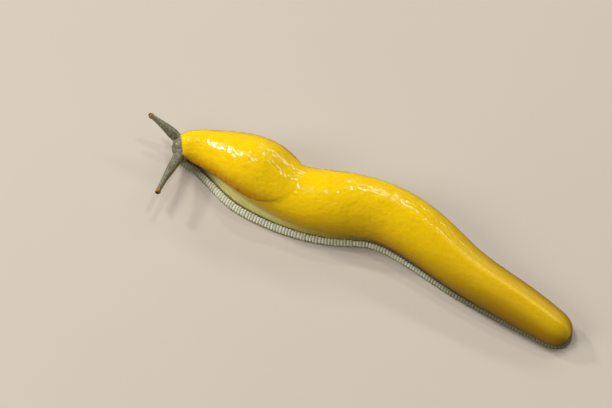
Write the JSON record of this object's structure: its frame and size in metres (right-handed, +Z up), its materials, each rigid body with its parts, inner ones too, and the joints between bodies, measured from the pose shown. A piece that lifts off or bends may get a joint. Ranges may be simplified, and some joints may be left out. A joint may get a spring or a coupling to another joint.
{
  "type": "banana slug model",
  "caption": "Life-size still model of a yellow banana slug gliding in a gentle S, feelers out, mantle shield, keeled tail and ribbed foot fringe.",
  "frame": {"origin": "on the flat sole, in the plane of the floor, under the body about 50 mm behind the snout", "axes": "+Y from head to tail, +Z up, +X towards the animal's left side"},
  "size_m": [0.0462, 0.171, 0.0202],
  "materials": {
    "body_skin": "wet, glossy",
    "mantle_skin": "wet, glossy",
    "head_skin": "wet",
    "fringe_skin": "wet",
    "eye": "glossy"
  },
  "bodies": {
    "root": {"head": "head_skin", "neck": "body_skin", "torso_front": "body_skin", "torso_middle": "body_skin", "torso_rear": "body_skin", "tail": "body_skin", "mantle": "mantle_skin", "foot_front": "fringe_skin", "foot_middle": "fringe_skin", "foot_rear": "fringe_skin", "foot_tail": "fringe_skin", "eye_tentacle_left": "head_skin", "eye_tentacle_right": "head_skin", "lip_tentacle_left": "head_skin", "lip_tentacle_right": "head_skin", "eye_left": "eye", "eye_right": "eye"}
  },
  "joints": []
}
